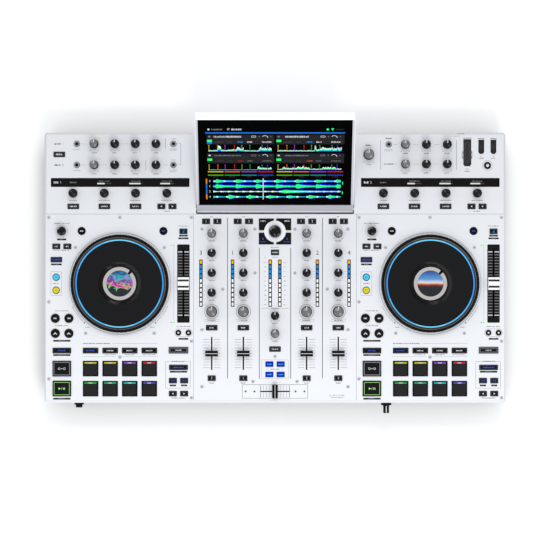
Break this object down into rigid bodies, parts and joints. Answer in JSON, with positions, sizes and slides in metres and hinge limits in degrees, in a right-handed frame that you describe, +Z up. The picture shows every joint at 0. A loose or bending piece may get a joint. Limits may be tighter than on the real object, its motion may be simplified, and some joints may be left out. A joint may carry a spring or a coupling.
{
  "type": "dj controller",
  "caption": "Wide four-channel DJ controller with jog wheels either side of a mixer, performance pads, faders, knobs and a touch display that tilts up at the rear.",
  "frame": {"origin": "bottom centre of the bounding box with the display raised, on the table plane", "axes": "+X to the performer's right, +Y from the front edge to the rear, +Z up"},
  "size_m": [0.7286, 0.471, 0.1678],
  "materials": {
    "white_panel": "satin",
    "white_shell": "satin",
    "grey_case": "matt, fine texture",
    "black_plastic": "satin",
    "white_plastic": "satin",
    "grey_knob": "brushed",
    "pad_rubber": "matt",
    "display_glass": "gloss",
    "rubber": "matt",
    "steel": "satin",
    "circuit_board": "satin"
  },
  "bodies": {
    "case": {"bottom_case": "grey_case", "deck_plates": "white_panel", "effect_displays": "display_glass", "effect_encoders": "black_plastic", "fader_units": "black_plastic", "jog_displays": "display_glass", "level_meters": "display_glass", "main_board": "circuit_board", "media_ports": "black_plastic", "mixer_plate": "white_panel", "panel_screws": "steel", "power_supply": "steel", "rubber_feet": "rubber", "sockets": "black_plastic", "source_knobs": "black_plastic", "top_shell": "white_shell"},
    "display": {"display_housing": "white_shell", "display_glass": "display_glass"},
    "left_jog": {"left_jog_wheel": "black_plastic"},
    "left_pitch_fader": {"left_pitch_fader_cap": "white_plastic"},
    "left_loop": {"left_loop_encoder": "black_plastic"},
    "left_pads_body": {"left_pads": "pad_rubber"},
    "left_deck_buttons_body": {"left_deck_buttons": "black_plastic"},
    "right_jog": {"right_jog_wheel": "black_plastic"},
    "right_pitch_fader": {"right_pitch_fader_cap": "white_plastic"},
    "right_loop": {"right_loop_encoder": "black_plastic"},
    "right_pads_body": {"right_pads": "pad_rubber"},
    "right_deck_buttons_body": {"right_deck_buttons": "black_plastic"},
    "channel_3_fader": {"channel_3_fader_cap": "black_plastic"},
    "channel_3_level": {"channel_3_level_knob": "grey_knob"},
    "channel_3_high": {"channel_3_high_knob": "black_plastic"},
    "channel_3_mid": {"channel_3_mid_knob": "black_plastic"},
    "channel_3_low": {"channel_3_low_knob": "black_plastic"},
    "channel_3_filter": {"channel_3_filter_knob": "grey_knob"},
    "channel_1_fader": {"channel_1_fader_cap": "black_plastic"},
    "channel_1_level": {"channel_1_level_knob": "grey_knob"},
    "channel_1_high": {"channel_1_high_knob": "black_plastic"},
    "channel_1_mid": {"channel_1_mid_knob": "black_plastic"},
    "channel_1_low": {"channel_1_low_knob": "black_plastic"},
    "channel_1_filter": {"channel_1_filter_knob": "grey_knob"},
    "channel_2_fader": {"channel_2_fader_cap": "black_plastic"},
    "channel_2_level": {"channel_2_level_knob": "grey_knob"},
    "channel_2_high": {"channel_2_high_knob": "black_plastic"},
    "channel_2_mid": {"channel_2_mid_knob": "black_plastic"},
    "channel_2_low": {"channel_2_low_knob": "black_plastic"},
    "channel_2_filter": {"channel_2_filter_knob": "grey_knob"},
    "channel_4_fader": {"channel_4_fader_cap": "black_plastic"},
    "channel_4_level": {"channel_4_level_knob": "grey_knob"},
    "channel_4_high": {"channel_4_high_knob": "black_plastic"},
    "channel_4_mid": {"channel_4_mid_knob": "black_plastic"},
    "channel_4_low": {"channel_4_low_knob": "black_plastic"},
    "channel_4_filter": {"channel_4_filter_knob": "grey_knob"},
    "crossfader": {"crossfader_cap": "black_plastic"},
    "browse": {"browse_encoder": "black_plastic"},
    "cue_mix": {"cue_mix_knob": "black_plastic"},
    "cue_level": {"cue_level_knob": "grey_knob"},
    "main_level": {"main_level_knob": "grey_knob"},
    "contour": {"contour_knob": "black_plastic"},
    "mixer_buttons_body": {"mixer_buttons": "black_plastic"},
    "rear_buttons_body": {"rear_buttons": "black_plastic"}
  },
  "joints": [
    {"name": "display_tilt", "type": "hinge", "parent": "case", "child": "display", "pos_m": [0, 0.08771, 0.068], "axis": [1, 0, 0], "range_deg": [-34.5, 0]},
    {"name": "left_jog_spin", "type": "hinge", "parent": "case", "child": "left_jog", "pos_m": [-0.245, -0.02999, 0.08], "axis": [0, 0, 1], "continuous": true},
    {"name": "left_pitch_slide", "type": "slide", "parent": "case", "child": "left_pitch_fader", "axis": [0, 1, 0], "range_m": [-0.044, 0.044]},
    {"name": "left_loop_turn", "type": "hinge", "parent": "case", "child": "left_loop", "pos_m": [-0.337, 0.05301, 0.08], "axis": [0, 0, 1], "continuous": true},
    {"name": "left_pads_press", "type": "slide", "parent": "case", "child": "left_pads_body", "axis": [0, 0, 1], "range_m": [-0.0008, 0], "stiffness_N_per_m": 1500, "springref_m": 0.0015},
    {"name": "left_deck_buttons_press", "type": "slide", "parent": "case", "child": "left_deck_buttons_body", "axis": [0, 0, 1], "range_m": [-0.0008, 0], "stiffness_N_per_m": 1500, "springref_m": 0.0015},
    {"name": "right_jog_spin", "type": "hinge", "parent": "case", "child": "right_jog", "pos_m": [0.245, -0.02999, 0.08], "axis": [0, 0, 1], "continuous": true},
    {"name": "right_pitch_slide", "type": "slide", "parent": "case", "child": "right_pitch_fader", "axis": [0, 1, 0], "range_m": [-0.044, 0.044]},
    {"name": "right_loop_turn", "type": "hinge", "parent": "case", "child": "right_loop", "pos_m": [0.153, 0.05301, 0.08], "axis": [0, 0, 1], "continuous": true},
    {"name": "right_pads_press", "type": "slide", "parent": "case", "child": "right_pads_body", "axis": [0, 0, 1], "range_m": [-0.0008, 0], "stiffness_N_per_m": 1500, "springref_m": 0.0015},
    {"name": "right_deck_buttons_press", "type": "slide", "parent": "case", "child": "right_deck_buttons_body", "axis": [0, 0, 1], "range_m": [-0.0008, 0], "stiffness_N_per_m": 1500, "springref_m": 0.0015},
    {"name": "channel_3_fader_slide", "type": "slide", "parent": "case", "child": "channel_3_fader", "axis": [0, 1, 0], "range_m": [-0.021, 0.021]},
    {"name": "channel_3_level_turn", "type": "hinge", "parent": "case", "child": "channel_3_level", "pos_m": [-0.1, 0.04941, 0.08], "axis": [0, 0, 1], "range_deg": [-150, 150]},
    {"name": "channel_3_high_turn", "type": "hinge", "parent": "case", "child": "channel_3_high", "pos_m": [-0.1, 0.01851, 0.08], "axis": [0, 0, 1], "range_deg": [-150, 150]},
    {"name": "channel_3_mid_turn", "type": "hinge", "parent": "case", "child": "channel_3_mid", "pos_m": [-0.1, -0.01289, 0.08], "axis": [0, 0, 1], "range_deg": [-150, 150]},
    {"name": "channel_3_low_turn", "type": "hinge", "parent": "case", "child": "channel_3_low", "pos_m": [-0.1, -0.04429, 0.08], "axis": [0, 0, 1], "range_deg": [-150, 150]},
    {"name": "channel_3_filter_turn", "type": "hinge", "parent": "case", "child": "channel_3_filter", "pos_m": [-0.1, -0.07439, 0.08], "axis": [0, 0, 1], "range_deg": [-150, 150]},
    {"name": "channel_1_fader_slide", "type": "slide", "parent": "case", "child": "channel_1_fader", "axis": [0, 1, 0], "range_m": [-0.021, 0.021]},
    {"name": "channel_1_level_turn", "type": "hinge", "parent": "case", "child": "channel_1_level", "pos_m": [-0.05, 0.04941, 0.08], "axis": [0, 0, 1], "range_deg": [-150, 150]},
    {"name": "channel_1_high_turn", "type": "hinge", "parent": "case", "child": "channel_1_high", "pos_m": [-0.05, 0.01851, 0.08], "axis": [0, 0, 1], "range_deg": [-150, 150]},
    {"name": "channel_1_mid_turn", "type": "hinge", "parent": "case", "child": "channel_1_mid", "pos_m": [-0.05, -0.01289, 0.08], "axis": [0, 0, 1], "range_deg": [-150, 150]},
    {"name": "channel_1_low_turn", "type": "hinge", "parent": "case", "child": "channel_1_low", "pos_m": [-0.05, -0.04429, 0.08], "axis": [0, 0, 1], "range_deg": [-150, 150]},
    {"name": "channel_1_filter_turn", "type": "hinge", "parent": "case", "child": "channel_1_filter", "pos_m": [-0.05, -0.07439, 0.08], "axis": [0, 0, 1], "range_deg": [-150, 150]},
    {"name": "channel_2_fader_slide", "type": "slide", "parent": "case", "child": "channel_2_fader", "axis": [0, 1, 0], "range_m": [-0.021, 0.021]},
    {"name": "channel_2_level_turn", "type": "hinge", "parent": "case", "child": "channel_2_level", "pos_m": [0.05, 0.04941, 0.08], "axis": [0, 0, 1], "range_deg": [-150, 150]},
    {"name": "channel_2_high_turn", "type": "hinge", "parent": "case", "child": "channel_2_high", "pos_m": [0.05, 0.01851, 0.08], "axis": [0, 0, 1], "range_deg": [-150, 150]},
    {"name": "channel_2_mid_turn", "type": "hinge", "parent": "case", "child": "channel_2_mid", "pos_m": [0.05, -0.01289, 0.08], "axis": [0, 0, 1], "range_deg": [-150, 150]},
    {"name": "channel_2_low_turn", "type": "hinge", "parent": "case", "child": "channel_2_low", "pos_m": [0.05, -0.04429, 0.08], "axis": [0, 0, 1], "range_deg": [-150, 150]},
    {"name": "channel_2_filter_turn", "type": "hinge", "parent": "case", "child": "channel_2_filter", "pos_m": [0.05, -0.07439, 0.08], "axis": [0, 0, 1], "range_deg": [-150, 150]},
    {"name": "channel_4_fader_slide", "type": "slide", "parent": "case", "child": "channel_4_fader", "axis": [0, 1, 0], "range_m": [-0.021, 0.021]},
    {"name": "channel_4_level_turn", "type": "hinge", "parent": "case", "child": "channel_4_level", "pos_m": [0.1, 0.04941, 0.08], "axis": [0, 0, 1], "range_deg": [-150, 150]},
    {"name": "channel_4_high_turn", "type": "hinge", "parent": "case", "child": "channel_4_high", "pos_m": [0.1, 0.01851, 0.08], "axis": [0, 0, 1], "range_deg": [-150, 150]},
    {"name": "channel_4_mid_turn", "type": "hinge", "parent": "case", "child": "channel_4_mid", "pos_m": [0.1, -0.01289, 0.08], "axis": [0, 0, 1], "range_deg": [-150, 150]},
    {"name": "channel_4_low_turn", "type": "hinge", "parent": "case", "child": "channel_4_low", "pos_m": [0.1, -0.04429, 0.08], "axis": [0, 0, 1], "range_deg": [-150, 150]},
    {"name": "channel_4_filter_turn", "type": "hinge", "parent": "case", "child": "channel_4_filter", "pos_m": [0.1, -0.07439, 0.08], "axis": [0, 0, 1], "range_deg": [-150, 150]},
    {"name": "crossfader_slide", "type": "slide", "parent": "case", "child": "crossfader", "axis": [1, 0, 0], "range_m": [-0.019, 0.019]},
    {"name": "browse_turn", "type": "hinge", "parent": "case", "child": "browse", "pos_m": [0, 0.05231, 0.08], "axis": [0, 0, 1], "continuous": true},
    {"name": "cue_mix_turn", "type": "hinge", "parent": "case", "child": "cue_mix", "pos_m": [0, -0.08089, 0.08], "axis": [0, 0, 1], "range_deg": [-150, 150]},
    {"name": "cue_level_turn", "type": "hinge", "parent": "case", "child": "cue_level", "pos_m": [0, -0.10899, 0.08], "axis": [0, 0, 1], "range_deg": [-150, 150]},
    {"name": "main_level_turn", "type": "hinge", "parent": "case", "child": "main_level", "pos_m": [0.1481, 0.17381, 0.08], "axis": [0, 0, 1], "range_deg": [-150, 150]},
    {"name": "contour_turn", "type": "hinge", "parent": "case", "child": "contour", "pos_m": [0.1764, -0.22649, 0.058], "axis": [0, -1, 0], "range_deg": [-140, 140]},
    {"name": "mixer_buttons_press", "type": "slide", "parent": "case", "child": "mixer_buttons_body", "axis": [0, 0, 1], "range_m": [-0.0008, 0], "stiffness_N_per_m": 1500, "springref_m": 0.0015},
    {"name": "rear_buttons_press", "type": "slide", "parent": "case", "child": "rear_buttons_body", "axis": [0, 0, 1], "range_m": [-0.0008, 0], "stiffness_N_per_m": 1500, "springref_m": 0.0015}
  ]
}
